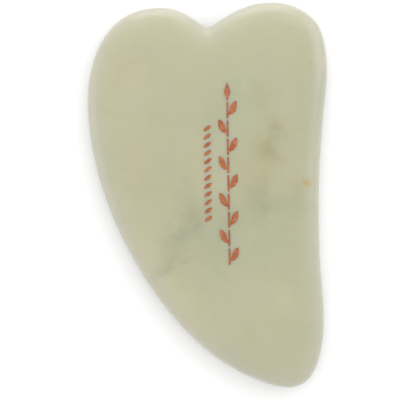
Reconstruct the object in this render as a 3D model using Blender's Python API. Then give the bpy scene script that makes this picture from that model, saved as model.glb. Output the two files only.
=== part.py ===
"""Heart-shaped jade gua sha scraper with a copper-filled sprig engraved in one face.

The plate lies on its back on z = 0. +Y runs along its long axis towards the two lobes,
+X runs across it, and +Z comes out of the engraved face. The origin is on the back, in the
middle of the plate's length and width.
"""

import math

import bmesh
import bpy
from mathutils import Matrix, Vector
from mathutils.geometry import interpolate_bezier

MM = 0.001

# Plate
LENGTH = 83.0 * MM          # tail tip to the higher lobe
WIDTH = 51.7 * MM           # left lobe to hip
THICKNESS = 6.0 * MM
RIM_WIDTH = 4.0 * MM        # how far the rounding runs in from the edge
RIM_STEPS = 3               # bevel resolution of the rounding
OUTLINE_STEPS = 10          # straight pieces between two points of the outline
CLEFT_RADIUS = 0.9 * MM     # at the bottom of the cleft between the lobes

# Engraving
POCKET_DEPTH = 0.30 * MM
FILL_GAP = 0.05 * MM        # between a fill and the walls and floor of its pocket
FILL_SUNK = 0.05 * MM       # top of a fill below the stone's face
CURVE_STEPS = 9             # points along one curved side of a leaf or a seed

# Sprig: a stem cut into segments, with one leaf on each
SEGMENTS = 10
SEGMENT_PITCH = 3.9 * MM
STEM_WIDTH = 0.42 * MM
STONE_BRIDGE = 0.45 * MM    # stone left between two segments of the stem
PETIOLE_WIDTH = 0.55 * MM   # where a leaf joins the stem
LEAF_REACH = 1.95 * MM      # leaf tip to the middle of the stem
LEAF_RISE = 3.0 * MM        # leaf tip above the foot of the leaf
TERMINAL_WIDTH = 1.6 * MM   # across the last leaf, which stands on the end of the stem
SPRIG_CENTRE = Vector((4.17, 4.8)) * MM

# Seeds: a row of slanting almonds beside the sprig
SEEDS = 12
SEED_PITCH = 1.75 * MM
SEED_LENGTH = 2.05 * MM
SEED_WIDTH = 0.80 * MM
SEED_SLANT = math.radians(54)
SEED_CENTRE = Vector((-0.2, 4.8)) * MM

JADE = ("jade", (0.55, 0.54, 0.37), 0.28, 0.0)
COPPER = ("copper_lacquer", (0.56, 0.20, 0.09), 0.42, 0.6)


def heading(degrees):
    """Unit vector along a heading, anticlockwise from +X."""
    return Vector((math.cos(math.radians(degrees)), math.sin(math.radians(degrees))))


def cleft_fillet(apex, heading_in, heading_out):
    """Two outline points that round the cleft to CLEFT_RADIUS."""
    turn = math.radians(heading_out - heading_in)
    run = CLEFT_RADIUS * math.tan(turn / 2)
    arm = CLEFT_RADIUS * 4 / 3 * math.tan(turn / 4)
    start = apex - run * heading(heading_in)
    end = apex + run * heading(heading_out)
    share = arm / (end - start).length
    return (start, heading_in, 0.41, share), (end, heading_out, share, 0.32)


def plate_outline():
    """Points of the outline, clockwise: place, heading, pull before and pull after.

    A pull is the handle's share of the straight line to the point beside it.
    """
    top, side = LENGTH / 2, WIDTH / 2

    def point(x, y, degrees, pull_in, pull_out):
        return Vector((x, y)), degrees, pull_in, pull_out

    hip = point(side, top - 14.4 * MM, -90, 0.34, 0.19)
    waist = point(side - 2.2 * MM, -top + 33.2 * MM, -90, 0.64, 0.53)
    heel = point(side - 1.45 * MM, -top + 15.9 * MM, -90, 0.26, 0.32)
    tail_tip = point(side - 9.2 * MM, -top, 180, 0.39, 0.17)
    flank = point(tail_tip[0].x - 18.9 * MM, -top + 9.4 * MM, 138, 0.45, 0.25)
    left_edge = point(-side, top - 20.9 * MM, 90, 0.38, 0.34)
    apex = Vector((0.3 * MM, top - 5.3 * MM))
    left_lobe = point(apex.x - 10.65 * MM, top - 0.8 * MM, 0, 0.46, 0.42)
    cleft = cleft_fillet(apex, -32, 30.5)
    right_lobe = point(apex.x + 13.55 * MM, top, 0, 0.41, 0.46)
    shoulder = point(side - 1.6 * MM, top - 5.35 * MM, -62, 0.25, 0.26)
    return [hip, waist, heel, tail_tip, flank, left_edge, left_lobe, *cleft, right_lobe, shoulder]


def flat_curve(name, spline_type, count):
    """2D curve with one closed spline of count points."""
    curve = bpy.data.curves.new(name, "CURVE")
    curve.dimensions = "2D"
    curve.fill_mode = "BOTH"
    spline = curve.splines.new(spline_type)
    points = spline.bezier_points if spline_type == "BEZIER" else spline.points
    points.add(count - 1)
    spline.use_cyclic_u = True
    return curve, points


def mesh_from_curve(curve, place):
    """Mesh object made from a curve at a place, with its caps welded on."""
    source = bpy.data.objects.new(curve.name, curve)
    bpy.context.scene.collection.objects.link(source)
    source.location = place
    bpy.context.view_layer.update()
    evaluated = source.evaluated_get(bpy.context.evaluated_depsgraph_get())
    mesh = bpy.data.meshes.new_from_object(evaluated)
    mesh.name = curve.name
    body = bmesh.new()
    body.from_mesh(mesh)
    bmesh.ops.remove_doubles(body, verts=body.verts, dist=0.001 * MM)
    body.to_mesh(mesh)
    body.free()
    matrix = source.matrix_world.copy()
    bpy.data.objects.remove(source)
    bpy.data.curves.remove(curve)
    solid = bpy.data.objects.new(mesh.name, mesh)
    solid.matrix_world = matrix
    return solid


def material(name, colour, roughness, metallic):
    """Principled material of one finish."""
    finish = bpy.data.materials.new(name)
    finish.use_nodes = True
    shader = finish.node_tree.nodes["Principled BSDF"]
    shader.inputs["Base Color"].default_value = (*colour, 1.0)
    shader.inputs["Roughness"].default_value = roughness
    shader.inputs["Metallic"].default_value = metallic
    return finish


def dress(solid, name, finish):
    """Give a solid its name, a material of its own and its shading."""
    solid.name = name
    solid.data.name = name
    solid.data.materials.clear()
    solid.data.materials.append(material(f"{finish[0]}_{name}", *finish[1:]))
    solid.data.shade_smooth()
    solid.data.set_sharp_from_angle(angle=math.radians(35))


def make_plate():
    """Stone plate: the flat outline with its rim rounded to half an ellipse."""
    outline = plate_outline()
    curve, points = flat_curve("plate_outline", "BEZIER", len(outline))
    curve.resolution_u = OUTLINE_STEPS
    curve.render_resolution_u = 0
    curve.bevel_depth = RIM_WIDTH
    curve.bevel_resolution = RIM_STEPS
    curve.offset = -RIM_WIDTH
    for index, (place, degrees, pull_in, pull_out) in enumerate(outline):
        before = outline[index - 1][0]
        after = outline[(index + 1) % len(outline)][0]
        reach_in = pull_in * (place - before).length
        reach_out = pull_out * (after - place).length
        point = points[index]
        point.handle_left_type = point.handle_right_type = "FREE"
        point.co = place.to_3d()
        point.handle_left = (place - reach_in * heading(degrees)).to_3d()
        point.handle_right = (place + reach_out * heading(degrees)).to_3d()
    plate = mesh_from_curve(curve, (0, 0, 0))
    plate.data.transform(Matrix.Scale(THICKNESS / 2 / RIM_WIDTH, 4, (0, 0, 1)))
    plate.data.transform(Matrix.Translation((0, 0, THICKNESS / 2)))
    return plate


def curved_side(start, pull_start, pull_end, end):
    """Points of one curved side, with its end left to the side that follows."""
    side = interpolate_bezier(start, start + pull_start, end + pull_end, end, CURVE_STEPS + 1)
    return [Vector(place[:2]) for place in side[:-1]]


def leaf_segment(side):
    """Outline of a stem segment with a leaf on one side, +1 right or -1 left."""
    half = STEM_WIDTH / 2
    stem = SEGMENT_PITCH - STONE_BRIDGE
    foot = Vector((half, 0.2 * stem))
    crotch = Vector((half, foot.y + PETIOLE_WIDTH))
    tip = Vector((LEAF_REACH, foot.y + LEAF_RISE))
    span = tip - foot
    under = curved_side(foot, Vector((0.90 * span.x, 0.06 * span.y)),
                        Vector((0.16 * span.x, -0.50 * span.y)), tip)
    over = curved_side(tip, Vector((-0.85 * span.x, -0.16 * span.y)),
                       Vector((0.30 * span.x, 0.34 * span.y)), crotch)
    right = [Vector((-half, 0)), Vector((half, 0)), *under, *over, crotch,
             Vector((half, stem)), Vector((-half, stem))]
    return [Vector((side * place.x, place.y)) for place in right]


def terminal_segment():
    """Outline of the last segment: a short stem with an upright leaf on its end."""
    half = STEM_WIDTH / 2
    foot = Vector((half, 0.2 * (SEGMENT_PITCH - STONE_BRIDGE)))
    tip = Vector((0, SEGMENT_PITCH))
    rise = tip.y - foot.y
    bulge = Vector((0.9 * (TERMINAL_WIDTH - STEM_WIDTH), 0.22 * rise))
    right = curved_side(foot, bulge, Vector((0.12 * TERMINAL_WIDTH, -0.34 * rise)), tip)
    left = [Vector((-place.x, place.y)) for place in reversed(right)]
    return [Vector((-half, 0)), Vector((half, 0)), *right, tip, *left]


def seed():
    """Almond outline about its own middle, slanting across the row."""
    end = Vector((0, SEED_LENGTH / 2))
    bulge = Vector((SEED_WIDTH * 2 / 3, -SEED_LENGTH / 4))
    right = curved_side(end, bulge, Vector((bulge.x, -bulge.y)), -end)
    almond = right + [-place for place in right]
    return [Matrix.Rotation(-SEED_SLANT, 2) @ place for place in almond]


def marks():
    """Every engraved mark: name, place of its own origin and outline about that origin."""
    foot = SPRIG_CENTRE - Vector((0, SEGMENTS * SEGMENT_PITCH / 2))
    for index in range(SEGMENTS):
        last = index == SEGMENTS - 1
        outline = terminal_segment() if last else leaf_segment(1 if index % 2 == 0 else -1)
        yield f"sprig_fill_{index + 1:02d}", foot + Vector((0, index * SEGMENT_PITCH)), outline
    first = SEED_CENTRE - Vector((0, (SEEDS - 1) * SEED_PITCH / 2))
    for index in range(SEEDS):
        yield f"seed_fill_{index + 1:02d}", first + Vector((0, index * SEED_PITCH)), seed()


def prism(name, outline, place, inset, low, high):
    """Upright solid on an outline drawn in by inset, from height low to height high."""
    curve, points = flat_curve(name, "POLY", len(outline))
    curve.extrude = (high - low) / 2
    curve.offset = -inset
    for point, corner in zip(points, outline):
        point.co = (corner.x, corner.y, 0, 1)
    return mesh_from_curve(curve, (place.x, place.y, (high + low) / 2))


def new_collection(name):
    """Collection linked to the scene."""
    collection = bpy.data.collections.new(name)
    bpy.context.scene.collection.children.link(collection)
    return collection


def main():
    for old in list(bpy.data.objects):
        bpy.data.objects.remove(old, do_unlink=True)
    parts = new_collection("gua_sha_scraper")
    cutters = new_collection("engraving_cutters")

    plate = make_plate()
    dress(plate, "jade_plate", JADE)
    parts.objects.link(plate)

    floor = THICKNESS - POCKET_DEPTH
    for name, place, outline in marks():
        cutter = prism(f"{name}_pocket", outline, place, 0, floor, THICKNESS + POCKET_DEPTH)
        cutter.hide_render = True
        cutter.display_type = "WIRE"
        cutters.objects.link(cutter)
        fill = prism(name, outline, place, FILL_GAP, floor + FILL_GAP, THICKNESS - FILL_SUNK)
        dress(fill, name, COPPER)
        parts.objects.link(fill)

    engrave = plate.modifiers.new("engrave", "BOOLEAN")
    engrave.operand_type = "COLLECTION"
    engrave.collection = cutters
    engrave.operation = "DIFFERENCE"
    engrave.solver = "EXACT"


main()
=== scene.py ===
"""Looks of a heart-shaped jade gua sha scraper with a copper-filled sprig engraved in one face.

The stone lies on its back. +Y runs along its long axis towards the two lobes, +X across it, and
+Z out of the engraved face. Sizes in the classes are in millimetres, and meshes are made in metres.
"""

import logging
import math
from dataclasses import dataclass, field
from enum import Enum
from typing import Any, Iterator, Sequence

import bpy
import numpy as np
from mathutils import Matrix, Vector, noise
from mathutils.geometry import delaunay_2d_cdt


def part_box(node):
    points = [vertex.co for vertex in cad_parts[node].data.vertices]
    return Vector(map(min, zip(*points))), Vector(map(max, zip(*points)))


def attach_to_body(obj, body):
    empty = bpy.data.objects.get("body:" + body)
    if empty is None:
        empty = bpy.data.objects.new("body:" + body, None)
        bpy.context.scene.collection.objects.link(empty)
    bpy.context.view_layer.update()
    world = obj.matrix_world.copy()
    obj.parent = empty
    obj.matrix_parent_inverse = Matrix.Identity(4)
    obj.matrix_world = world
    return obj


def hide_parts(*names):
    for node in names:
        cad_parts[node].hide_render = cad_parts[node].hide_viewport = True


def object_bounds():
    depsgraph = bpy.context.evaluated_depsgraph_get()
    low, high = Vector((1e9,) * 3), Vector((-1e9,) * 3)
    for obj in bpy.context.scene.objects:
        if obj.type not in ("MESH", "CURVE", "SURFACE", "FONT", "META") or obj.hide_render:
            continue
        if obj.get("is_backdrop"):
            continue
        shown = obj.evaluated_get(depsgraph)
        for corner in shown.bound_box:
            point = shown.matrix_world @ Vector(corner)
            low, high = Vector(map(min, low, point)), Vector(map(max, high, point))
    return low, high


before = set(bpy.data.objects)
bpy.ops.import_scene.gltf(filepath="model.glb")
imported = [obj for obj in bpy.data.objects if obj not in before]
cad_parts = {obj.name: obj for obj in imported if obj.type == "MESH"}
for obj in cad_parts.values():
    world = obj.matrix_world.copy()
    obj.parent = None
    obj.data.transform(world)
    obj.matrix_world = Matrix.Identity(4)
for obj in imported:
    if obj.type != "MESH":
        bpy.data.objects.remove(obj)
CAD_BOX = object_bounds()

log = logging.getLogger("gua_sha")

MM = 0.001
BODY = "root"
Colour = tuple[float, float, float]
Socket = bpy.types.NodeSocket


class Side(Enum):
    """Side of the stem that a leaf grows on."""

    LEFT = -1
    RIGHT = 1


class Slot(Enum):
    """Material slots of the record."""

    JADE = "jade"
    COPPER = "copper_lacquer"


# ---------------------------------------------------------------- outlines


def bezier(start: Sequence[float], pull_start: Sequence[float], pull_end: Sequence[float],
           end: Sequence[float], steps: int) -> np.ndarray:
    """Points along one curved side.

    Args:
        start: First end.
        pull_start: Handle at the first end, relative to it.
        pull_end: Handle at the second end, relative to it.
        end: Second end.
        steps: Number of points, the second end left out.

    Returns:
        Array of steps by 2.
    """
    first, last = np.array(start, float), np.array(end, float)
    second, third = first + np.array(pull_start, float), last + np.array(pull_end, float)
    t = np.linspace(0, 1, steps, endpoint=False)[:, None]
    return ((1 - t) ** 3 * first + 3 * (1 - t) ** 2 * t * second
            + 3 * (1 - t) * t ** 2 * third + t ** 3 * last)


def resample(loop: np.ndarray, spacing: float) -> np.ndarray:
    """Closed loop walked again at an even spacing.

    Args:
        loop: Corners, N by 2.
        spacing: Distance between the new points.

    Returns:
        New points, M by 2.
    """
    closed = np.vstack([loop, loop[:1]])
    along = np.concatenate([[0], np.cumsum(np.linalg.norm(np.diff(closed, axis=0), axis=1))])
    count = max(8, round(along[-1] / spacing))
    places = np.linspace(0, along[-1], count, endpoint=False)
    return np.column_stack([np.interp(places, along, closed[:, axis]) for axis in (0, 1)])


def soften(loop: np.ndarray, reach: int) -> np.ndarray:
    """Closed loop with its corners eased, as a round cutter leaves them.

    Args:
        loop: Evenly spaced points, N by 2.
        reach: How many points the easing spreads over.

    Returns:
        Eased points, N by 2.
    """
    steps = np.arange(-3 * reach, 3 * reach + 1)
    weights = np.exp(-0.5 * (steps / reach) ** 2)
    weights /= weights.sum()
    return sum(weight * np.roll(loop, step, axis=0) for step, weight in zip(steps, weights))


def signed_area(loop: np.ndarray) -> float:
    """Area inside a closed loop, positive when it runs anticlockwise."""
    after = np.roll(loop, -1, axis=0)
    return float((loop[:, 0] * after[:, 1] - after[:, 0] * loop[:, 1]).sum() / 2)


def anticlockwise(loop: np.ndarray) -> np.ndarray:
    """The loop, turned round if it runs clockwise."""
    return loop if signed_area(loop) > 0 else loop[::-1].copy()


def outward(loop: np.ndarray) -> np.ndarray:
    """Unit normals that point out of an anticlockwise loop.

    Args:
        loop: Corners, N by 2.

    Returns:
        One normal for each corner, N by 2.
    """
    along = np.roll(loop, -1, axis=0) - np.roll(loop, 1, axis=0)
    normals = np.column_stack([along[:, 1], -along[:, 0]])
    return normals / np.linalg.norm(normals, axis=1)[:, None]


def inside(points: np.ndarray, loop: np.ndarray) -> np.ndarray:
    """Which points lie inside a closed loop, by counting crossings.

    Args:
        points: Points to test, N by 2.
        loop: Corners of the loop, M by 2.

    Returns:
        N truth values.
    """
    result = np.zeros(len(points), bool)
    for (x0, y0), (x1, y1) in zip(loop, np.roll(loop, -1, axis=0)):
        if y0 == y1:
            continue
        spans = (y0 > points[:, 1]) != (y1 > points[:, 1])
        result ^= spans & (points[:, 0] < (x1 - x0) * (points[:, 1] - y0) / (y1 - y0) + x0)
    return result


def nearest(points: np.ndarray, loop: np.ndarray) -> np.ndarray:
    """Distance from each point to the nearest point of a loop.

    Args:
        points: Points to measure from, N by 2.
        loop: Points of the loop, M by 2.

    Returns:
        N distances.
    """
    chunks = np.array_split(points, max(1, len(points) // 500))
    return np.concatenate([
        np.sqrt(((chunk[:, None] - loop[None]) ** 2).sum(-1)).min(1) for chunk in chunks if len(chunk)
    ])


def lattice(loop: np.ndarray, spacing: float, margin: float) -> np.ndarray:
    """Points in offset rows that fill a loop.

    Args:
        loop: Loop to fill, N by 2.
        spacing: Distance between neighbours.
        margin: Least distance to the loop.

    Returns:
        Points, M by 2.
    """
    low, high = loop.min(0), loop.max(0)
    rows = np.arange(low[1], high[1], spacing * math.sin(math.pi / 3))
    columns = np.arange(low[0], high[0], spacing)
    grid = np.array([(x + spacing / 2 * (row % 2), y) for row, y in enumerate(rows) for x in columns])
    grid = grid[inside(grid, loop)]
    return grid[nearest(grid, loop) > margin] if len(grid) else grid.reshape(0, 2)


def triangulate(outer: np.ndarray, holes: Sequence[np.ndarray], fill: np.ndarray) -> np.ndarray:
    """Triangles between an outer loop and holes in it.

    Args:
        outer: Anticlockwise outer loop.
        holes: Loops that are left open.
        fill: Loose points inside the outer loop.

    Returns:
        Corner numbers, T by 3, which count through outer, the holes and fill in that order.
    """
    loops = [outer, *holes]
    points = np.vstack([*loops, fill]) if len(fill) else np.vstack(loops)
    edges, start = [], 0
    for loop in loops:
        edges += [(start + i, start + (i + 1) % len(loop)) for i in range(len(loop))]
        start += len(loop)
    result = delaunay_2d_cdt([Vector(p) for p in points], edges, [list(range(len(outer)))], 1, 1e-7)
    source = [origin[0] for origin in result[3]]
    triangles = np.array([[source[corner] for corner in face] for face in result[2]])
    middles = points[triangles].mean(1)
    keep = np.ones(len(triangles), bool)
    for hole in holes:
        low, high = hole.min(0), hole.max(0)
        near = ((middles > low) & (middles < high)).all(1)
        keep[near] &= ~inside(middles[near], hole)
    return triangles[keep]


# ---------------------------------------------------------------- mesh making


class Shell:
    """A closed surface put together from rings of points and flat patches, in millimetres."""

    def __init__(self) -> None:
        """Start with no points and no faces."""
        self.points: list[np.ndarray] = []
        self.faces: list[tuple[int, ...]] = []
        self.count = 0

    def add_points(self, flat: np.ndarray, heights: np.ndarray | float) -> np.ndarray:
        """Put points in the shell.

        Args:
            flat: Places in plan, N by 2.
            heights: Height of each point, or one for all.

        Returns:
            Their numbers.
        """
        heights = np.broadcast_to(heights, len(flat))
        self.points.append(np.column_stack([flat, heights]))
        numbers = np.arange(self.count, self.count + len(flat))
        self.count += len(flat)
        return numbers

    def bridge(self, ring: np.ndarray, other: np.ndarray) -> None:
        """Join two rings of equal length with four-sided faces.

        Args:
            ring: Numbers of an anticlockwise ring, outside or below the other.
            other: Numbers of the ring that follows it, inwards or upwards.
        """
        after, other_after = np.roll(ring, -1), np.roll(other, -1)
        self.faces += list(zip(ring.tolist(), after.tolist(), other_after.tolist(), other.tolist()))

    def patch(self, numbers: np.ndarray, triangles: np.ndarray, upwards: bool) -> None:
        """Close an area with triangles.

        Args:
            numbers: Shell numbers of the patch's points, in the triangles' own order.
            triangles: Corner numbers, T by 3.
            upwards: Whether the patch looks up.
        """
        corners = numbers[triangles]
        if not upwards:
            corners = corners[:, ::-1]
        self.faces += [tuple(face) for face in corners.tolist()]

    def finish(self, name: str, sharp: float) -> bpy.types.Object:
        """Make the mesh object.

        Args:
            name: Name of the piece.
            sharp: Angle in degrees above which an edge is shaded sharp.

        Returns:
            The new object, linked to the scene.
        """
        mesh = bpy.data.meshes.new(name)
        mesh.from_pydata((np.vstack(self.points) * MM).tolist(), [], self.faces)
        mesh.validate()
        mesh.shade_smooth()
        mesh.set_sharp_from_angle(angle=math.radians(sharp))
        piece = bpy.data.objects.new(name, mesh)
        bpy.context.scene.collection.objects.link(piece)
        return piece


# ---------------------------------------------------------------- node trees


class Recipe:
    """Short calls that fill a node tree."""

    MIX_A, MIX_B, MIX_COLOUR = 6, 7, 2

    def __init__(self, tree: bpy.types.NodeTree) -> None:
        """Work on one node tree."""
        self.tree = tree

    def add(self, kind: str, inputs: dict[str | int, Any] | None = None,
            **settings: Any) -> bpy.types.Node:
        """Add a node.

        Args:
            kind: Node type.
            inputs: What feeds each input, a socket or a plain value.
            settings: The node's own settings.

        Returns:
            The node.
        """
        node = self.tree.nodes.new(kind)
        for name, value in settings.items():
            setattr(node, name, value)
        self.wire(node, inputs or {})
        return node

    def wire(self, node: bpy.types.Node, inputs: dict[str | int, Any]) -> None:
        """Feed a node's inputs.

        Args:
            node: The node.
            inputs: What feeds each input, a socket or a plain value.
        """
        for key, value in inputs.items():
            if isinstance(value, Socket):
                self.tree.links.new(value, node.inputs[key])
            else:
                node.inputs[key].default_value = value

    def calculate(self, operation: str, first: Any, second: Any = 0.0) -> Socket:
        """Result of a Math node."""
        return self.add("ShaderNodeMath", {0: first, 1: second}, operation=operation).outputs[0]

    def combine(self, operation: str, first: Any, second: Any) -> Socket:
        """Vector result of a Vector Math node."""
        return self.add("ShaderNodeVectorMath", {0: first, 1: second}, operation=operation).outputs[0]

    def stretch(self, vector: Any, factor: Any) -> Socket:
        """A vector times a number."""
        node = self.add("ShaderNodeVectorMath", {0: vector, "Scale": factor}, operation="SCALE")
        return node.outputs[0]

    def turbulence(self, vector: Any, scale: Any, detail: float, roughness: float = 0.5,
                   output: str = "Fac") -> Socket:
        """Layered noise.

        Args:
            vector: Place in the stone.
            scale: Features in one unit of length.
            detail: Number of layers.
            roughness: Share that each layer passes on.
            output: Fac, or Color for three separate values.

        Returns:
            The socket asked for.
        """
        node = self.add("ShaderNodeTexNoise", {"Vector": vector, "Scale": scale, "Detail": detail,
                                               "Roughness": roughness})
        return node.outputs[output]

    def ease(self, value: Any, low: Any, high: Any, to_low: Any = 0.0, to_high: Any = 1.0) -> Socket:
        """Value eased from one range to another."""
        node = self.add("ShaderNodeMapRange", {0: value, 1: low, 2: high, 3: to_low, 4: to_high},
                        interpolation_type="SMOOTHSTEP")
        return node.outputs[0]

    def blend(self, factor: Any, base: Any, over: Any, way: str = "MIX") -> Socket:
        """Colour laid over another.

        Args:
            factor: Share of the upper colour.
            base: Lower colour.
            over: Upper colour.
            way: How the two are blended.

        Returns:
            The blended colour.
        """
        inputs = {0: factor, self.MIX_A: as_rgba(base), self.MIX_B: as_rgba(over)}
        node = self.add("ShaderNodeMix", inputs, data_type="RGBA", blend_type=way)
        return node.outputs[self.MIX_COLOUR]

    def place(self, group: bpy.types.NodeTree, inputs: dict[str, Any]) -> bpy.types.Node:
        """Add one use of a node group."""
        return self.add("ShaderNodeGroup", inputs, node_tree=group)


def as_rgba(colour: Any) -> Any:
    """A plain colour with its alpha, or the socket that was given."""
    return colour if isinstance(colour, Socket) else (*colour[:3], 1.0)


def new_group(name: str, inputs: dict[str, tuple[str, Any]], outputs: dict[str, str],
              ) -> tuple[Recipe, bpy.types.Node, bpy.types.Node]:
    """Start a shader node group.

    Args:
        name: Name of the group.
        inputs: Kind and default of each input, by name.
        outputs: Kind of each output, by name.

    Returns:
        A recipe for the group's tree, its input node and its output node.
    """
    tree = bpy.data.node_groups.new(name, "ShaderNodeTree")
    for label, (kind, default) in inputs.items():
        socket = tree.interface.new_socket(label, in_out="INPUT", socket_type=f"NodeSocket{kind}")
        socket.default_value = default
    for label, kind in outputs.items():
        tree.interface.new_socket(label, in_out="OUTPUT", socket_type=f"NodeSocket{kind}")
    recipe = Recipe(tree)
    return recipe, recipe.add("NodeGroupInput"), recipe.add("NodeGroupOutput")


class Effects:
    """Node groups that the finishes share, each built once."""

    def __init__(self) -> None:
        """Build every group."""
        self.clouds = self.make_clouds()
        self.tint_patch = self.make_tint_patch()
        self.polish = self.make_polish()

    @staticmethod
    def make_clouds() -> bpy.types.NodeTree:
        """Soft drifting patches: Mask runs from 0 to 1 across patches of about Size.

        Returns:
            The node group.
        """
        recipe, given, result = new_group(
            "clouds",
            {"Vector": ("Vector", (0, 0, 0)), "Size": ("Float", 10.0), "Drift": ("Float", 2.0),
             "Contrast": ("Float", 0.5), "Layers": ("Float", 3.0)},
            {"Mask": "Float"})
        frequency = recipe.calculate("DIVIDE", 1.0, given.outputs["Size"])
        swirl = recipe.turbulence(given.outputs["Vector"], frequency, 1.0, output="Color")
        centred = recipe.combine("SUBTRACT", swirl, (0.5, 0.5, 0.5))
        drifted = recipe.combine("ADD", given.outputs["Vector"],
                                 recipe.stretch(centred, given.outputs["Drift"]))
        layers = recipe.add("ShaderNodeTexNoise", {"Vector": drifted, "Scale": frequency,
                                                   "Detail": given.outputs["Layers"], "Roughness": 0.55})
        half = recipe.calculate("MULTIPLY", given.outputs["Contrast"], 0.5)
        mask = recipe.ease(layers.outputs["Fac"], recipe.calculate("SUBTRACT", 0.5, half),
                           recipe.calculate("ADD", 0.5, half))
        recipe.tree.links.new(mask, result.inputs["Mask"])
        return recipe.tree

    @staticmethod
    def make_tint_patch() -> bpy.types.NodeTree:
        """One ragged patch inside the stone, used for the stone's own patches and for painted light and
        shade: Mask is 1 in its middle and 0 past its radii.

        Returns:
            The node group.
        """
        recipe, given, result = new_group(
            "tint_patch",
            {"Vector": ("Vector", (0, 0, 0)), "Place": ("Vector", (0, 0, 0)),
             "Radii": ("Vector", (1, 1, 1)), "Turn": ("Float", 0.0), "Ragged": ("Float", 0.5),
             "Ragged Size": ("Float", 1.0)},
            {"Mask": "Float"})
        away = recipe.combine("SUBTRACT", given.outputs["Vector"], given.outputs["Place"])
        turned = recipe.add("ShaderNodeVectorRotate", {"Vector": away, "Angle": given.outputs["Turn"]},
                            rotation_type="Z_AXIS")
        shares = recipe.combine("DIVIDE", turned.outputs[0], given.outputs["Radii"])
        reach = recipe.add("ShaderNodeVectorMath", {0: shares}, operation="LENGTH").outputs["Value"]
        frequency = recipe.calculate("DIVIDE", 1.0, given.outputs["Ragged Size"])
        fray = recipe.turbulence(given.outputs["Vector"], frequency, 3.0, 0.6)
        centred = recipe.calculate("SUBTRACT", fray, 0.5)
        edge = recipe.calculate("ADD", reach,
                                recipe.calculate("MULTIPLY", centred, given.outputs["Ragged"]))
        recipe.tree.links.new(recipe.ease(edge, 1.0, 0.1), result.inputs["Mask"])
        return recipe.tree

    @staticmethod
    def make_polish() -> bpy.types.NodeTree:
        """Hand-polished surface: Height for a bump and Haze where the polish is duller.

        Returns:
            The node group.
        """
        recipe, given, result = new_group(
            "polish",
            {"Vector": ("Vector", (0, 0, 0)), "Ripple": ("Float", 3.0), "Grain": ("Float", 0.3),
             "Pits": ("Float", 0.2)},
            {"Height": "Float", "Haze": "Float"})
        vector = given.outputs["Vector"]
        ripple = recipe.turbulence(vector, recipe.calculate("DIVIDE", 1.0, given.outputs["Ripple"]), 2.0)
        fine = recipe.calculate("DIVIDE", 1.0, given.outputs["Grain"])
        grain = recipe.turbulence(vector, fine, 3.0, 0.6)
        cells = recipe.add("ShaderNodeTexVoronoi", {"Vector": vector, "Scale": fine}).outputs["Distance"]
        pit = recipe.calculate("MULTIPLY", recipe.ease(cells, 0.22, 0.05), given.outputs["Pits"])
        waves = recipe.calculate("MULTIPLY", ripple, 2.0)
        height = recipe.calculate("SUBTRACT", recipe.calculate("ADD", waves, grain), pit)
        haze = recipe.calculate("ADD", recipe.calculate("MULTIPLY", grain, 0.6),
                                recipe.calculate("MULTIPLY", ripple, 0.4))
        recipe.tree.links.new(height, result.inputs["Height"])
        recipe.tree.links.new(haze, result.inputs["Haze"])
        return recipe.tree


def new_material(name: str) -> tuple[bpy.types.Material, Recipe, bpy.types.Node]:
    """Start a material.

    Args:
        name: Name of the material.

    Returns:
        The material, a recipe for its tree and its Principled shader.
    """
    material = bpy.data.materials.new(name)
    material.use_nodes = True
    return material, Recipe(material.node_tree), material.node_tree.nodes["Principled BSDF"]


# ---------------------------------------------------------------- finishes


class Tint(Enum):
    """Colours that patches in the stone multiply it by."""

    SMOKE = (0.85, 0.865, 0.885)
    VEIN = (0.87, 0.845, 0.86)
    MOSS = (0.86, 0.90, 0.87)
    OCHRE = (0.90, 0.855, 0.74)
    UMBER = (0.86, 0.78, 0.66)
    RUST = (1.06, 0.80, 0.45)
    BLUSH = (1.015, 0.975, 0.98)
    # Lighter tint: painted light on the lobes and the flank; it also lightens the left side, the tail and
    # one milky area.
    MILK_AND_PAINTED_LIGHT = (1.095, 1.078, 1.078)
    # Darker tint: painted shade on the right side, and a darker tone of the stone in two smaller patches.
    DIM_AND_PAINTED_SHADE = (0.94, 0.955, 0.94)


@dataclass(frozen=True)
class Cloud:
    """One use of the clouds effect, its size and drift in millimetres."""

    size: float
    drift: float
    contrast: float
    layers: float

    def mask(self, recipe: Recipe, effects: Effects, place: Socket) -> Socket:
        """Mask of these clouds at a place in the piece."""
        inputs = {"Vector": place, "Size": self.size, "Drift": self.drift, "Contrast": self.contrast,
                  "Layers": self.layers}
        return recipe.place(effects.clouds, inputs).outputs["Mask"]


@dataclass(frozen=True)
class TintPatch:
    """One tinted patch in the stone's colour, used both for the stone's own patches and for painted light
    and shade.

    Its place and radii are in millimetres, strength is the tint's share in its middle, turn is its
    angle in degrees, clockwise seen from above, and ragged is how far its edge wanders, in steps of
    about ragged_size millimetres.
    """

    place: tuple[float, float, float]
    radii: tuple[float, float, float]
    tint: Tint
    strength: float
    turn: float = 0.0
    ragged: float = 0.5
    ragged_size: float = 2.0


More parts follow.
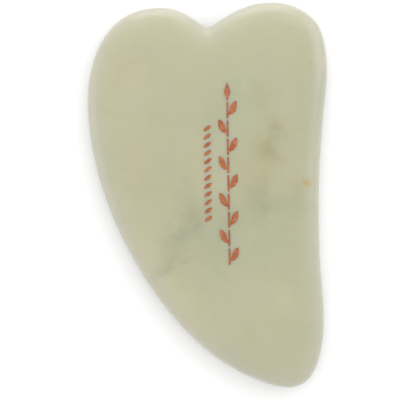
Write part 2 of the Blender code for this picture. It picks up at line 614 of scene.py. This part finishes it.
# Broad lighter and dimmer areas, partly painted light and shade: painted light on the lobes and the flank,
# painted shade on the right side, a lighter left side and tail, and two dimmer patches of darker stone.
PAINTED_LIGHT_AND_TONE: tuple[TintPatch, ...] = (
    # Painted light on the two lobes.
    TintPatch((-11.5, 39.0, 3.0), (24.0, 25.0, 12.0), Tint.MILK_AND_PAINTED_LIGHT, 1.0, 0, 0.6, 8.0),
    TintPatch((11.0, 41.0, 3.0), (24.0, 24.0, 12.0), Tint.MILK_AND_PAINTED_LIGHT, 1.0, 0, 0.6, 8.0),
    TintPatch((-18.5, 15.0, 3.0), (11.0, 19.0, 12.0), Tint.MILK_AND_PAINTED_LIGHT, 0.72, 0, 0.6, 6.0),
    # Painted light on the flank.
    TintPatch((-13.0, -20.5, 3.0), (28.0, 11.0, 12.0), Tint.MILK_AND_PAINTED_LIGHT, 1.0, 59, 0.6, 6.0),
    TintPatch((8.0, -27.0, 3.0), (20.0, 16.0, 12.0), Tint.MILK_AND_PAINTED_LIGHT, 0.50, 0, 0.6, 6.0),
    # Painted shade on the right side.
    TintPatch((28.0, 24.0, 3.0), (13.0, 38.0, 12.0), Tint.DIM_AND_PAINTED_SHADE, 1.0, 0, 0.4, 5.0),
    TintPatch((17.0, 9.5, 4.0), (8.0, 12.0, 9.0), Tint.DIM_AND_PAINTED_SHADE, 0.8, 8, 0.9, 5.0),
    TintPatch((11.0, -9.0, 4.0), (9.0, 6.0, 8.0), Tint.DIM_AND_PAINTED_SHADE, 0.6, 0, 0.9, 5.0),
)

# The smoky veil that runs up from the flank and across to the waist, with its threads.
VEIL: tuple[TintPatch, ...] = (
    TintPatch((-10.4, -15.4, 4.0), (6.0, 3.0, 6.0), Tint.SMOKE, 0.55, -36, 0.9, 3.5),
    TintPatch((-6.8, -9.8, 4.0), (7.4, 5.2, 7.0), Tint.SMOKE, 0.75, -62, 0.9, 3.5),
    TintPatch((-3.8, -5.2, 4.0), (6.8, 4.8, 7.0), Tint.SMOKE, 0.80, -52, 0.9, 3.5),
    TintPatch((3.5, -4.6, 4.0), (11.0, 5.6, 8.0), Tint.SMOKE, 0.50, -8, 0.9, 4.5),
    TintPatch((-4.4, -0.6, 4.0), (5.2, 7.2, 7.0), Tint.SMOKE, 0.50, 10, 0.9, 3.0),
    TintPatch((0.4, -9.6, 4.0), (6.5, 5.5, 7.0), Tint.SMOKE, 0.60, -40, 0.9, 3.5),
    TintPatch((11.4, -1.0, 4.5), (5.8, 7.4, 7.0), Tint.SMOKE, 0.75, 0, 0.9, 3.0),
    TintPatch((12.0, -3.2, 5.0), (2.4, 1.9, 4.0), Tint.MOSS, 0.6, 30, 0.9, 1.8),
    TintPatch((18.0, -2.4, 4.0), (7.5, 3.8, 6.0), Tint.SMOKE, 0.60, 4, 0.9, 3.5),
    TintPatch((-9.0, -15.6, 5.0), (3.6, 1.5, 5.0), Tint.VEIN, 0.60, -24, 0.8, 1.6),
    TintPatch((-5.0, -13.6, 5.0), (4.2, 1.3, 5.0), Tint.VEIN, 0.45, -30, 0.8, 1.6),
    TintPatch((-2.4, -6.4, 5.0), (1.7, 1.4, 4.0), Tint.SMOKE, 0.4, 0, 0.6, 1.6),
)

# Ochre stains with brown cores, and small rusty flecks.
STAINS: tuple[TintPatch, ...] = (
    TintPatch((14.4, 14.2, 5.0), (4.6, 4.0, 4.0), Tint.OCHRE, 0.60, 30, 1.1, 2.4),
    TintPatch((12.4, 9.6, 5.0), (4.8, 5.4, 4.0), Tint.OCHRE, 0.80, -15, 1.1, 2.4),
    TintPatch((11.0, 21.5, 5.0), (5.4, 5.0, 4.0), Tint.OCHRE, 0.22, 0, 1.0, 3.0),
    TintPatch((10.5, 5.5, 4.5), (7.5, 11.0, 7.0), Tint.OCHRE, 0.45, 0, 1.0, 4.0),
    TintPatch((18.8, 1.8, 4.5), (5.0, 4.5, 5.0), Tint.OCHRE, 0.55, 0, 0.9, 3.0),
    TintPatch((14.5, 14.6, 5.4), (1.6, 1.3, 3.0), Tint.UMBER, 0.38, 0, 1.0, 1.0),
    TintPatch((12.9, 9.8, 5.4), (1.6, 2.4, 3.0), Tint.UMBER, 0.38, -20, 1.0, 1.0),
    TintPatch((21.0, 2.6, 5.2), (1.7, 1.5, 2.5), Tint.RUST, 1.0, 0, 0.7, 0.9),
    TintPatch((22.0, 28.0, 5.2), (1.7, 1.2, 2.5), Tint.UMBER, 0.30, 20, 0.8, 1.0),
    TintPatch((17.8, 35.6, 5.2), (1.0, 0.7, 2.5), Tint.UMBER, 0.30, 0, 0.8, 0.9),
)

# Faint warm, milky and green areas.
TONES: tuple[TintPatch, ...] = (
    TintPatch((-15.3, 27.0, 4.0), (9.0, 5.0, 8.0), Tint.BLUSH, 0.8, 0, 1.0, 5.0),
    TintPatch((-14.8, 6.0, 4.0), (6.5, 8.0, 8.0), Tint.BLUSH, 0.8, 0, 1.0, 5.0),
    TintPatch((15.6, -22.6, 4.0), (4.5, 7.0, 8.0), Tint.MILK_AND_PAINTED_LIGHT, 0.6, 0, 1.0, 4.0),
    TintPatch((8.0, -28.4, 4.0), (5.0, 5.6, 6.0), Tint.MOSS, 0.30, 10, 0.9, 3.5),
)


@dataclass(frozen=True)
class JadeFinish:
    """Pale celadon jade: milky clouds, a smoky veil and a few ochre stains under a soft polish, with painted
    light on its thin rim, lobes and flank and painted shade on its right side.
    """

    node: str = "jade_plate"
    cream: Colour = (0.455, 0.432, 0.281)
    green: Colour = (0.398, 0.403, 0.262)
    milk: Colour = (0.463, 0.452, 0.320)
    drift: Cloud = Cloud(24.0, 16.0, 0.55, 2.0)
    wisps: Cloud = Cloud(8.0, 10.0, 0.5, 2.5)
    wisp_share: float = 0.35
    felt: Cloud = Cloud(2.2, 2.5, 0.6, 2.0)
    felt_share: float = 0.05
    felt_tint: Colour = (0.62, 0.62, 0.60)
    # Painted light on the thin rim: its paler colour, its share at the edge and how fast it fades inwards.
    painted_rim_glow: Colour = (0.462, 0.462, 0.442)
    painted_rim_glow_share: float = 0.72
    painted_rim_glow_falloff: float = 0.62
    glow: tuple[float, float, float] = (3.2, 3.0, 2.0)
    glow_share: float = 0.8
    glow_depth: float = 1.1
    refraction: float = 1.61
    smooth: float = 0.20
    dull: float = 0.26
    relief: float = 0.003
    # The stone's own patches, with painted light and shade among them.
    stone_tones_and_painted_light: tuple[TintPatch, ...] = (*PAINTED_LIGHT_AND_TONE, *VEIL, *STAINS, *TONES)

    def build(self, effects: Effects) -> bpy.types.Material:
        """Make the material from the shared effects.

        Args:
            effects: Node groups that the finishes share.

        Returns:
            The material.
        """
        material, recipe, shader = new_material("celadon_jade")
        place = recipe.add("ShaderNodeTexCoord").outputs["Object"]
        stone = recipe.stretch(place, 1 / MM)
        colour = self.body_colour(recipe, effects, stone)
        # Lay in the stone's own patches and the patches of painted light and shade.
        for tint_patch in self.stone_tones_and_painted_light:
            colour = self.lay(recipe, effects, stone, colour, tint_patch)
        # Painted light: a paler, greyer rim where the stone gets thin, standing in for the glow and
        # reflections on it.
        colour = recipe.blend(self.painted_rim_glow_mask(recipe, stone), colour, self.painted_rim_glow)
        polish = recipe.place(effects.polish, {"Vector": stone, "Ripple": 6.0, "Grain": 0.5, "Pits": 0.0})
        roughness = recipe.ease(polish.outputs["Haze"], 0.3, 0.7, self.smooth, self.dull)
        bump = recipe.add("ShaderNodeBump", {"Strength": 0.3, "Distance": self.relief * MM,
                                             "Height": polish.outputs["Height"]})
        recipe.wire(shader, {"Base Color": colour, "Roughness": roughness, "Normal": bump.outputs["Normal"]})
        shader.inputs["IOR"].default_value = self.refraction
        shader.inputs["Subsurface Weight"].default_value = self.glow_share
        shader.inputs["Subsurface Radius"].default_value = self.glow
        shader.inputs["Subsurface Scale"].default_value = self.glow_depth * MM
        return material

    def painted_rim_glow_mask(self, recipe: Recipe, stone: Socket) -> Socket:
        """Share of the painted rim light, a paler edge colour that grows where the rim gets thin.

        Args:
            recipe: Recipe for the material's tree.
            stone: Place in the stone, in millimetres.

        Returns:
            The share, from 0 on the flat faces.
        """
        low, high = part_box(self.node)
        height = recipe.add("ShaderNodeSeparateXYZ", {0: stone}).outputs["Z"]
        above = recipe.calculate("SUBTRACT", height, (low.z + high.z) / 2 / MM)
        full = recipe.calculate("DIVIDE", recipe.calculate("ABSOLUTE", above), (high.z - low.z) / 2 / MM)
        missing = recipe.calculate("MAXIMUM", recipe.calculate("SUBTRACT", 1.0, full), 0.0)
        return recipe.calculate("MULTIPLY", recipe.calculate("POWER", missing, self.painted_rim_glow_falloff),
                                self.painted_rim_glow_share)

    def body_colour(self, recipe: Recipe, effects: Effects, stone: Socket) -> Socket:
        """Clouded colour of the stone before its inclusions.

        Args:
            recipe: Recipe for the material's tree.
            effects: Node groups that the finishes share.
            stone: Place in the stone, in millimetres.

        Returns:
            The colour.
        """
        colour = recipe.blend(self.drift.mask(recipe, effects, stone), self.cream, self.green)
        wisps = recipe.calculate("MULTIPLY", self.wisps.mask(recipe, effects, stone), self.wisp_share)
        colour = recipe.blend(wisps, colour, self.milk)
        felt = recipe.calculate("MULTIPLY", self.felt.mask(recipe, effects, stone), self.felt_share)
        return recipe.blend(felt, colour, self.felt_tint, "MULTIPLY")

    def lay(self, recipe: Recipe, effects: Effects, stone: Socket, colour: Socket,
            tint_patch: TintPatch) -> Socket:
        """Colour with one tinted patch laid into it.

        Args:
            recipe: Recipe for the material's tree.
            effects: Node groups that the finishes share.
            stone: Place in the stone, in millimetres.
            colour: Colour so far.
            tint_patch: The patch.

        Returns:
            The colour with the patch in it.
        """
        patch = recipe.place(effects.tint_patch, {
            "Vector": stone, "Place": tint_patch.place, "Radii": tint_patch.radii,
            "Turn": math.radians(tint_patch.turn), "Ragged": tint_patch.ragged,
            "Ragged Size": tint_patch.ragged_size})
        share = recipe.calculate("MULTIPLY", patch.outputs["Mask"], tint_patch.strength)
        return recipe.blend(share, colour, tint_patch.tint.value, "MULTIPLY")


@dataclass(frozen=True)
class CopperFinish:
    """Copper-coloured lacquer wiped into the engraving, a little grainy and uneven."""

    deep: Colour = (0.29, 0.075, 0.026)
    bright: Colour = (0.46, 0.165, 0.066)
    mottle: Cloud = Cloud(0.8, 0.8, 0.45, 4.0)
    shine: float = 0.35
    smooth: float = 0.34
    dull: float = 0.52
    relief: float = 0.004

    def build(self, effects: Effects) -> bpy.types.Material:
        """Make the material from the shared effects.

        Args:
            effects: Node groups that the finishes share.

        Returns:
            The material.
        """
        material, recipe, shader = new_material("copper_lacquer")
        place = recipe.add("ShaderNodeTexCoord").outputs["Object"]
        paint = recipe.stretch(place, 1 / MM)
        colour = recipe.blend(self.mottle.mask(recipe, effects, paint), self.deep, self.bright)
        grain = recipe.place(effects.polish, {"Vector": paint, "Ripple": 0.6, "Grain": 0.09, "Pits": 0.5})
        roughness = recipe.ease(grain.outputs["Haze"], 0.3, 0.7, self.smooth, self.dull)
        bump = recipe.add("ShaderNodeBump", {"Strength": 0.5, "Distance": self.relief * MM,
                                             "Height": grain.outputs["Height"]})
        recipe.wire(shader, {"Base Color": colour, "Roughness": roughness, "Normal": bump.outputs["Normal"]})
        shader.inputs["Metallic"].default_value = self.shine
        return material


# ---------------------------------------------------------------- the stone


@dataclass
class RimLine:
    """The plate's widest outline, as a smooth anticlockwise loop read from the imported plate."""

    node: str
    spacing: float = 0.26
    cleft_care: float = 2.5
    points: np.ndarray = field(init=False)
    normals: np.ndarray = field(init=False)

    def __post_init__(self) -> None:
        """Walk a smooth curve through the plate's own outline."""
        knots = self.read_knots()
        fine = self.through(knots, 24)
        self.points = self.walk(fine)
        self.normals = outward(self.points)

    def read_knots(self) -> np.ndarray:
        """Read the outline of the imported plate.

        Returns:
            Its corners at half its height, anticlockwise, in millimetres.
        """
        low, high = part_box(self.node)
        level = (low.z + high.z) / 2
        corners = {(round(v.co.x / MM, 4), round(v.co.y / MM, 4))
                   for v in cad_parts[self.node].data.vertices if abs(v.co.z - level) < 0.01 * MM}
        knots = np.array(sorted(corners))
        middle = knots.mean(0)
        turns = np.arctan2(knots[:, 1] - middle[1], knots[:, 0] - middle[0])
        return knots[np.argsort(turns)]

    @staticmethod
    def through(knots: np.ndarray, steps: int) -> np.ndarray:
        """Closed cubic spline through the knots, with a number of steps between each pair.

        Args:
            knots: Points that the spline passes through, N by 2.
            steps: Number of points from each knot to the next.

        Returns:
            Points along the spline.
        """
        count = len(knots)
        gaps = np.linalg.norm(np.roll(knots, -1, axis=0) - knots, axis=1)
        slopes = (np.roll(knots, -1, axis=0) - knots) / gaps[:, None]
        system = np.zeros((count, count))
        rows = np.arange(count)
        system[rows, rows] = 2 * (gaps + np.roll(gaps, 1))
        system[rows, (rows + 1) % count] = gaps
        system[rows, rows - 1] = np.roll(gaps, 1)
        bends = np.linalg.solve(system, 6 * (slopes - np.roll(slopes, 1, axis=0)))
        next_knots, next_bends = np.roll(knots, -1, axis=0), np.roll(bends, -1, axis=0)
        pieces = []
        for t in np.linspace(0, 1, steps, endpoint=False):
            a, h = 1 - t, gaps[:, None]
            pieces.append(a * knots + t * next_knots
                          + ((a ** 3 - a) * bends + (t ** 3 - t) * next_bends) * h ** 2 / 6)
        return np.stack(pieces, axis=1).reshape(-1, 2)

    def walk(self, fine: np.ndarray) -> np.ndarray:
        """The fine loop again, with points closer together where it turns inwards at the cleft.

        Args:
            fine: Closely spaced points of the loop.

        Returns:
            New points, N by 2.
        """
        ahead = np.roll(fine, -1, axis=0) - fine
        lengths = np.linalg.norm(ahead, axis=1)
        headings = np.arctan2(ahead[:, 1], ahead[:, 0])
        turning = (headings - np.roll(headings, 1) + math.pi) % (2 * math.pi) - math.pi
        hollow = np.maximum(0, -turning / ((lengths + np.roll(lengths, 1)) / 2))
        care = lengths * (1 + self.cleft_care * hollow)
        along = np.concatenate([[0], np.cumsum(care)])
        places = np.linspace(0, along[-1], round(along[-1] / self.spacing), endpoint=False)
        closed = np.vstack([fine, fine[:1]])
        return np.column_stack([np.interp(places, along, closed[:, axis]) for axis in (0, 1)])


@dataclass
class JadePlate:
    """The stone: a flat plate with a softly rounded rim and pockets engraved in its upper face."""

    node: str = "jade_plate"
    rim_reach: float = 6.0
    rim_fullness: float = 2.6
    ring_reach: float = 4.4
    ring_count: int = 24
    face_spacing: float = 0.6
    rim_clearance: float = 0.5
    mouth_clearance: float = 0.4
    pocket_depth: float = 0.30
    arris: float = 0.03
    arris_ease: int = 3
    sharp: float = 30.0

    def __post_init__(self) -> None:
        """Read the plate's outline and its heights."""
        low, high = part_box(self.node)
        self.middle = (low.z + high.z) / 2 / MM
        self.half = (high.z - low.z) / 2 / MM
        self.rim = RimLine(self.node)

    def rise(self, depth: np.ndarray | float) -> np.ndarray | float:
        """Height of the surface above mid-thickness.

        Args:
            depth: Distance in from the edge.

        Returns:
            Height for each distance.
        """
        share = np.clip(1 - np.asarray(depth) / self.rim_reach, 0, 1)
        return self.half * np.sqrt(1 - share ** self.rim_fullness)

    def ring_depths(self) -> np.ndarray:
        """Places of the rings, closer together where the rim turns fastest.

        Returns:
            Distance in from the edge of each ring.
        """
        last = 1 - self.ring_reach / self.rim_reach
        end = math.acos(last ** (self.rim_fullness / 2))
        turns = np.linspace(0, end, self.ring_count + 1)[1:]
        return self.rim_reach * (1 - np.cos(turns) ** (2 / self.rim_fullness))

    def build(self, pockets: Sequence[np.ndarray], finish: bpy.types.Material) -> bpy.types.Object:
        """Make the stone.

        Args:
            pockets: Outlines of the engraved pockets.
            finish: Material of the stone.

        Returns:
            The piece.
        """
        shell = Shell()
        edge = shell.add_points(self.rim.points, self.middle)
        self.make_face(shell, edge, pockets, upwards=True)
        self.make_face(shell, edge, [], upwards=False)
        piece = shell.finish("polished_jade", self.sharp)
        piece.data.materials.append(finish)
        return piece

    def make_face(self, shell: Shell, edge: np.ndarray, pockets: Sequence[np.ndarray],
                  upwards: bool) -> None:
        """Make the rounded rim and the flat of one face.

        Args:
            shell: Shell that the face goes in.
            edge: Numbers of the points along the plate's edge.
            pockets: Outlines of the pockets in this face.
            upwards: Whether it is the upper face.
        """
        way = 1 if upwards else -1
        ring = edge
        for depth in self.ring_depths():
            inner = self.rim.points - depth * self.rim.normals
            numbers = shell.add_points(inner, self.middle + way * self.rise(depth))
            shell.bridge(ring, numbers) if upwards else shell.bridge(numbers, ring)
            ring = numbers
        mouths = [pocket + soften(self.arris * outward(pocket), self.arris_ease) for pocket in pockets]
        fill = lattice(inner, self.face_spacing, self.rim_clearance * self.face_spacing)
        for mouth in mouths:
            fill = fill[nearest(fill, mouth) > self.mouth_clearance * self.face_spacing]
            fill = fill[~inside(fill, mouth)]
        levels = self.middle + way * self.rise(nearest(fill, self.rim.points))
        numbers = [ring]
        for pocket, mouth in zip(pockets, mouths):
            numbers.append(self.make_pocket(shell, pocket, mouth))
        numbers.append(shell.add_points(fill, levels))
        shell.patch(np.concatenate(numbers), triangulate(inner, mouths, fill), upwards)

    def make_pocket(self, shell: Shell, pocket: np.ndarray, mouth: np.ndarray) -> np.ndarray:
        """Make one pocket.

        Args:
            shell: Shell that the pocket goes in.
            pocket: Outline of its walls.
            mouth: Outline of the broken edge round it.

        Returns:
            Numbers of the points round its mouth.
        """
        top = self.middle + self.half
        lip = shell.add_points(mouth, top)
        wall = shell.add_points(pocket, top - self.arris)
        foot = shell.add_points(pocket, top - self.pocket_depth)
        shell.bridge(lip, wall)
        shell.bridge(wall, foot)
        shell.patch(foot, triangulate(pocket, [], np.zeros((0, 2))), True)
        return lip


# ---------------------------------------------------------------- the engraving


@dataclass
class Lacquer:
    """How the copper lacquer lies in its pockets."""

    clearance: float = 0.006
    sunk: float = 0.05
    floor: float = 0.285
    creep: float = 0.018
    creep_reach: float = 0.09
    grain: float = 0.006
    rib: float = 0.030
    rib_reach: float = 0.07
    spacing: float = 0.09
    waves: float = 4.0
    sharp: float = 50.0

    def build(self, name: str, node: str, pocket: np.ndarray, ribs: Sequence[np.ndarray],
              finish: bpy.types.Material) -> bpy.types.Object:
        """Fill one pocket.

        Args:
            name: Name of the piece.
            node: Packed fill that it stands for.
            pocket: Outline of the pocket.
            ribs: Lines that are pressed into the fill, each N by 2.
            finish: Material of the lacquer.

        Returns:
            The piece.
        """
        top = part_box(node)[1].z / MM + self.sunk
        outline = pocket - self.clearance * outward(pocket)
        inner = lattice(outline, self.spacing, 0.5 * self.spacing)
        shell = Shell()
        bottom = shell.add_points(outline, top - self.floor)
        rim = shell.add_points(outline, self.levels(outline, outline, ribs, top))
        shell.bridge(bottom, rim)
        shell.patch(bottom, triangulate(outline, [], np.zeros((0, 2))), False)
        middle = shell.add_points(inner, self.levels(inner, outline, ribs, top))
        shell.patch(np.concatenate([rim, middle]), triangulate(outline, [], inner), True)
        piece = shell.finish(name, self.sharp)
        piece.data.materials.append(finish)
        return piece

    def levels(self, places: np.ndarray, outline: np.ndarray, ribs: Sequence[np.ndarray],
               top: float) -> np.ndarray:
        """Height of the lacquer, which creeps up the walls and dips along ribs.

        Args:
            places: Places in plan, N by 2.
            outline: Outline of the fill.
            ribs: Lines that are pressed into it.
            top: Height of the stone's face.

        Returns:
            Height at each place.
        """
        from_wall = nearest(places, outline)
        level = top - self.sunk + self.creep * np.exp(-from_wall / self.creep_reach)
        for rib in ribs:
            level -= self.rib * np.exp(-(nearest(places, rib) / self.rib_reach) ** 2)
        grain = [noise.noise(Vector((self.waves * x, self.waves * y, 0))) for x, y in places]
        return level + self.grain * np.array(grain)


@dataclass
class Mark:
    """One engraved mark: its pocket's outline and the ribs pressed into its fill."""

    node: str
    outline: np.ndarray
    ribs: list[np.ndarray]


def cut(corners: np.ndarray, place: np.ndarray) -> np.ndarray:
    """Pocket outline as the cutter leaves it.

    Args:
        corners: Drawn outline about its own origin.
        place: Where that origin lies on the stone.

    Returns:
        Even anticlockwise points with eased corners.
    """
    spacing, ease = 0.04, 2
    return anticlockwise(soften(resample(corners, spacing), ease)) + place


@dataclass
class Sprig:
    """A leafy stem cut into segments, with a leaf on each and an upright one on the last."""

    segments: int = 10
    pitch: float = 3.9
    stem_width: float = 0.42
    bridge: float = 0.45
    petiole: float = 0.55
    reach: float = 1.95
    rise: float = 3.0
    terminal_width: float = 1.6
    foot_share: float = 0.2
    rib_stop: float = 0.12
    gap: float = 0.05
    steps: int = 40

    def marks(self) -> Iterator[Mark]:
        """Work out each segment from the foot of the sprig to its tip.

        Returns:
            The marks, one after another.
        """
        for index in range(self.segments):
            node = f"sprig_fill_{index + 1:02d}"
            low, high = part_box(node)
            foot = low.y / MM - self.gap
            if index == self.segments - 1:
                place = np.array(((low.x + high.x) / 2 / MM, foot))
                outline, ribs = self.terminal()
            else:
                side = Side.RIGHT if index % 2 == 0 else Side.LEFT
                stem_edge = (low.x if side is Side.RIGHT else high.x) / MM
                middle = stem_edge + side.value * (self.stem_width / 2 - self.gap)
                place = np.array((middle, foot))
                outline, ribs = self.leaf(side)
            yield Mark(node, cut(outline, place), [rib + place for rib in ribs])

    def leaf(self, side: Side) -> tuple[np.ndarray, list[np.ndarray]]:
        """Draw a stem segment with a leaf on one side.

        Args:
            side: Side that the leaf grows on.

        Returns:
            Its outline and its midrib.
        """
        half = self.stem_width / 2
        stem = self.pitch - self.bridge
        foot = np.array((half, self.foot_share * stem))
        crotch = foot + (0, self.petiole)
        tip = np.array((self.reach, foot[1] + self.rise))
        span = tip - foot
        under = bezier(foot, span * (0.90, 0.06), span * (0.16, -0.50), tip, self.steps)
        over = bezier(tip, span * (-0.85, -0.16), span * (0.30, 0.34), crotch, self.steps)
        outline = np.vstack([[(-half, 0), (half, 0)], under, over, [crotch, (half, stem), (-half, stem)]])
        rib = bezier((half, foot[1] + 0.5 * self.petiole), span * (0.45, 0.16), span * (-0.14, -0.36),
                     tip - self.rib_stop * span, self.steps)
        mirror = np.array((side.value, 1))
        return outline * mirror, [rib * mirror]

    def terminal(self) -> tuple[np.ndarray, list[np.ndarray]]:
        """Draw the last segment, a short stem with an upright leaf.

        Returns:
            Its outline and its midrib.
        """
        half = self.stem_width / 2
        foot = np.array((half, self.foot_share * (self.pitch - self.bridge)))
        tip = np.array((0, self.pitch))
        rise = tip[1] - foot[1]
        bulge = (0.9 * (self.terminal_width - self.stem_width), 0.22 * rise)
        right = bezier(foot, bulge, (0.12 * self.terminal_width, -0.34 * rise), tip, self.steps)
        left = right[::-1] * (-1, 1)
        outline = np.vstack([[(-half, 0), (half, 0)], right, [tip], left])
        heights = np.linspace(foot[1], tip[1] - self.rib_stop * rise, self.steps)
        return outline, [np.column_stack([np.zeros(self.steps), heights])]


@dataclass
class SeedRow:
    """A row of slanting almond seeds beside the sprig."""

    seeds: int = 12
    length: float = 2.05
    width: float = 0.80
    slant: float = 54.0
    steps: int = 40

    def marks(self) -> Iterator[Mark]:
        """Work out each seed from the tail end of the row to the lobes.

        Returns:
            The marks, one after another.
        """
        for index in range(self.seeds):
            node = f"seed_fill_{index + 1:02d}"
            low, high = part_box(node)
            place = np.array(((low.x + high.x) / 2, (low.y + high.y) / 2)) / MM
            yield Mark(node, cut(self.almond(), place), [])

    def almond(self) -> np.ndarray:
        """Draw a seed about its own middle.

        Returns:
            Its outline.
        """
        end = np.array((0, self.length / 2))
        bulge = np.array((self.width * 2 / 3, -self.length / 4))
        right = bezier(end, bulge, bulge * (1, -1), -end, self.steps)
        turn = math.radians(self.slant)
        spin = np.array(((math.cos(turn), -math.sin(turn)), (math.sin(turn), math.cos(turn))))
        return np.vstack([right, -right]) @ spin


# ---------------------------------------------------------------- the studio


@dataclass(frozen=True)
class Softbox:
    """A square soft light: its place and side in metres and its power in watts."""

    name: str
    place: tuple[float, float, float]
    side: float
    power: float

    def hang(self) -> None:
        """Put the light in the scene, looking at the stone."""
        light = bpy.data.lights.new(self.name, "AREA")
        light.shape = "SQUARE"
        light.size = self.side
        light.energy = self.power
        lamp = bpy.data.objects.new(self.name, light)
        lamp.location = self.place
        lamp.rotation_euler = (-Vector(self.place)).to_track_quat("-Z", "Y").to_euler()
        bpy.context.scene.collection.objects.link(lamp)


@dataclass
class Studio:
    """A white table, a white surround, soft lights and a camera straight above."""

    softboxes: tuple[Softbox, ...] = (
        Softbox("key_softbox", (0.315, 0.165, 0.22), 0.30, 0.30),
        Softbox("left_wall", (-0.55, 0.0, 0.14), 0.40, 0.36),
        Softbox("lobe_softbox", (0.0, 0.30, 0.45), 0.40, 0.12),
        Softbox("lobe_wall", (0.0, 0.60, 0.14), 0.50, 1.20),
    )
    lens: float = 100.0
    view_width: float = 86.28
    aim: tuple[float, float] = (-1.95, -0.81)
    roll: float = -0.86
    surround: float = 1.06
    table_white: float = 0.93
    table_tooth: float = 0.01
    table_reach: float = 3.0

    def build(self) -> None:
        """Set up the whole studio."""
        bpy.context.scene.view_settings.view_transform = "Standard"
        self.make_surround()
        self.make_table()
        for softbox in self.softboxes:
            softbox.hang()
        self.make_camera()

    def make_surround(self) -> None:
        """Even white light from all round."""
        world = bpy.data.worlds.new("white_surround")
        world.use_nodes = True
        background = world.node_tree.nodes["Background"]
        background.inputs["Color"].default_value = (1.0, 1.0, 1.0, 1.0)
        background.inputs["Strength"].default_value = self.surround
        bpy.context.scene.world = world

    def make_table(self) -> None:
        """Large white table under the stone."""
        low, high = CAD_BOX
        mesh = bpy.data.meshes.new("table")
        reach = self.table_reach
        corners = [(x, y, low.z - 0.01 * MM) for x, y in ((-reach, -reach), (reach, -reach),
                                                         (reach, reach), (-reach, reach))]
        mesh.from_pydata(corners, [], [(0, 1, 2, 3)])
        table = bpy.data.objects.new("table", mesh)
        bpy.context.scene.collection.objects.link(table)
        material, recipe, shader = new_material("white_table")
        light = (self.table_white,) * 3
        dim = (self.table_white - self.table_tooth,) * 3
        place = recipe.add("ShaderNodeTexCoord").outputs["Object"]
        tooth = recipe.turbulence(place, 900.0, 3.0)
        tone = recipe.blend(tooth, light, dim)
        recipe.wire(shader, {"Base Color": tone})
        shader.inputs["Roughness"].default_value = 0.9
        shader.inputs["Specular IOR Level"].default_value = 0.2
        mesh.materials.append(material)
        table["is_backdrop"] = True

    def make_camera(self) -> None:
        """Camera straight above the stone, with a long lens."""
        low, high = CAD_BOX
        centre = (low + high) / 2
        camera = bpy.data.cameras.new("camera")
        camera.lens = self.lens
        camera.clip_start = 0.01
        distance = self.view_width * MM * self.lens / camera.sensor_width
        eye = bpy.data.objects.new("camera", camera)
        eye.location = centre + Vector((self.aim[0] * MM, self.aim[1] * MM, distance))
        eye.rotation_euler = (0, 0, math.radians(self.roll))
        bpy.context.scene.collection.objects.link(eye)
        bpy.context.scene.camera = eye


def attach(piece: bpy.types.Object, node: str, slot: Slot) -> None:
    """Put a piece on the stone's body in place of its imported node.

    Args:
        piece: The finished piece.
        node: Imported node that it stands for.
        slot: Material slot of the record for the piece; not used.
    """
    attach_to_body(piece, BODY)
    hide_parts(node)
    log.info("%s stands for %s with %d faces", piece.name, node, len(piece.data.polygons))


def main() -> None:
    """Build the stone, its engraving and the studio round them."""
    logging.basicConfig(level=logging.INFO, format="%(name)s: %(message)s")
    effects = Effects()
    jade = JadeFinish().build(effects)
    copper = CopperFinish().build(effects)
    marks = [*Sprig().marks(), *SeedRow().marks()]
    plate = JadePlate()
    stone = plate.build([mark.outline for mark in marks], jade)
    attach(stone, plate.node, Slot.JADE)
    lacquer = Lacquer()
    for mark in marks:
        name = mark.node.replace("fill", "lacquer")
        fill = lacquer.build(name, mark.node, mark.outline, mark.ribs, copper)
        attach(fill, mark.node, Slot.COPPER)
    Studio().build()
    boxes = {"cad": CAD_BOX, "visual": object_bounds()}
    {name: [list(corner) for corner in box] for name, box in boxes.items()}


if __name__ == "__main__":
    main()
